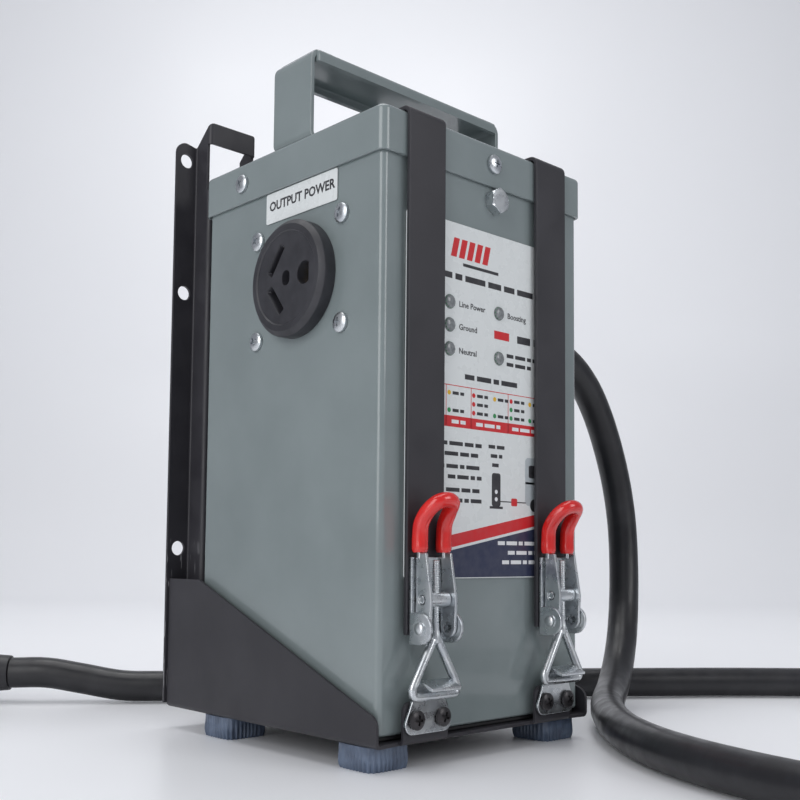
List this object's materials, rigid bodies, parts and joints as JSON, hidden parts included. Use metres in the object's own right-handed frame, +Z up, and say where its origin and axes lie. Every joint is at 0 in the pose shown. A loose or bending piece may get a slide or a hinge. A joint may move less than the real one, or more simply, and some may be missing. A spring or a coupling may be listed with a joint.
{
  "type": "surge protector",
  "caption": "Portable RV surge protector and voltage booster: steel box with a 30 A outlet, input cord and plug, strapped in a wall cradle with toggle latches.",
  "frame": {"origin": "middle of the cradle's and box's footprint, at floor level under the rubber feet", "axes": "+Z up, +Y towards the wall the cradle is screwed to, +X to the right facing the label"},
  "size_m": [0.4999, 0.6698, 0.325],
  "materials": {
    "grey_paint": "gloss orange-peel powder paint",
    "black_powder": "satin powder coat",
    "zinc_plate": "bright zinc plate",
    "black_screw": "black oxide",
    "grip_dip": "glossy red vinyl dip",
    "label_print": "satin printed film",
    "lamp_board": "circuit board with clear lamps",
    "outlet_plastic": "satin moulded thermoset",
    "gland_nylon": "satin nylon",
    "plug_plastic": "satin moulded vinyl",
    "contact_brass": "plain brass",
    "cord_rubber": "satin rubber jacket",
    "foot_rubber": "translucent blue elastomer",
    "mat_rubber": "matt foam rubber",
    "core_steel": "varnished laminations",
    "winding_copper": "varnished copper wire",
    "module_case": "potted plastic case",
    "relay_case": "moulded plastic case"
  },
  "bodies": {
    "root": {"enclosure_body": "grey_paint", "lid": "grey_paint", "handle": "grey_paint", "cradle_tray": "black_powder", "cradle_upright": "black_powder", "lid_screw_front": "zinc_plate", "lid_screw_left": "zinc_plate", "lid_screw_right": "zinc_plate", "lid_screw_rear": "zinc_plate", "earth_bolt": "zinc_plate", "outlet_screw_1": "zinc_plate", "outlet_screw_2": "zinc_plate", "outlet_screw_3": "zinc_plate", "outlet_screw_4": "zinc_plate", "outlet_yoke": "zinc_plate", "transformer_mount": "zinc_plate", "latch_catch_left": "zinc_plate", "latch_catch_right": "zinc_plate", "catch_screw_left_outer": "black_screw", "catch_screw_left_inner": "black_screw", "catch_screw_right_outer": "black_screw", "catch_screw_right_inner": "black_screw", "front_label": "label_print", "output_label": "label_print", "indicator_board": "lamp_board", "outlet_body": "outlet_plastic", "cable_gland": "gland_nylon", "plug_body": "plug_plastic", "outlet_contact_hot": "contact_brass", "outlet_contact_neutral": "contact_brass", "outlet_contact_earth": "contact_brass", "plug_blade_hot": "contact_brass", "plug_blade_neutral": "contact_brass", "plug_earth_pin": "contact_brass", "input_cord": "cord_rubber", "foot_front_left": "foot_rubber", "foot_rear_left": "foot_rubber", "foot_front_right": "foot_rubber", "foot_rear_right": "foot_rubber", "cushion_mat": "mat_rubber", "transformer_core": "core_steel", "transformer_winding": "winding_copper", "surge_module": "module_case", "relay": "relay_case"},
    "strap_left": {"strap_left": "black_powder", "latch_base_left": "zinc_plate", "latch_rivet_left_outer": "zinc_plate", "latch_rivet_left_inner": "zinc_plate"},
    "lever_left": {"latch_lever_left": "zinc_plate", "latch_grip_left": "grip_dip"},
    "bail_left": {"latch_bail_left": "zinc_plate", "latch_trunnion_left": "zinc_plate"},
    "strap_right": {"strap_right": "black_powder", "latch_base_right": "zinc_plate", "latch_rivet_right_outer": "zinc_plate", "latch_rivet_right_inner": "zinc_plate"},
    "lever_right": {"latch_lever_right": "zinc_plate", "latch_grip_right": "grip_dip"},
    "bail_right": {"latch_bail_right": "zinc_plate", "latch_trunnion_right": "zinc_plate"}
  },
  "joints": [
    {"name": "strap_left_tilt", "type": "hinge", "parent": "root", "child": "strap_left", "pos_m": [-0.04135, 0.077, 0.2815], "axis": [-1, 0, 0], "range_deg": [0, 18]},
    {"name": "lever_left_throw", "type": "hinge", "parent": "strap_left", "child": "lever_left", "pos_m": [-0.04135, -0.0798, 0.0589], "axis": [1, 0, 0], "range_deg": [0, 120]},
    {"name": "bail_left_swing", "type": "hinge", "parent": "lever_left", "child": "bail_left", "pos_m": [-0.04135, -0.0792, 0.0707], "axis": [1, 0, 0], "range_deg": [-120, 0]},
    {"name": "strap_right_tilt", "type": "hinge", "parent": "root", "child": "strap_right", "pos_m": [0.04365, 0.077, 0.2815], "axis": [-1, 0, 0], "range_deg": [0, 18]},
    {"name": "lever_right_throw", "type": "hinge", "parent": "strap_right", "child": "lever_right", "pos_m": [0.04365, -0.0798, 0.0589], "axis": [1, 0, 0], "range_deg": [0, 120]},
    {"name": "bail_right_swing", "type": "hinge", "parent": "lever_right", "child": "bail_right", "pos_m": [0.04365, -0.0792, 0.0707], "axis": [1, 0, 0], "range_deg": [-120, 0]}
  ],
  "couplings": [
    {"joint": "bail_left_swing", "follows": "lever_left_throw", "ratio": -1},
    {"joint": "bail_right_swing", "follows": "lever_right_throw", "ratio": -1}
  ]
}
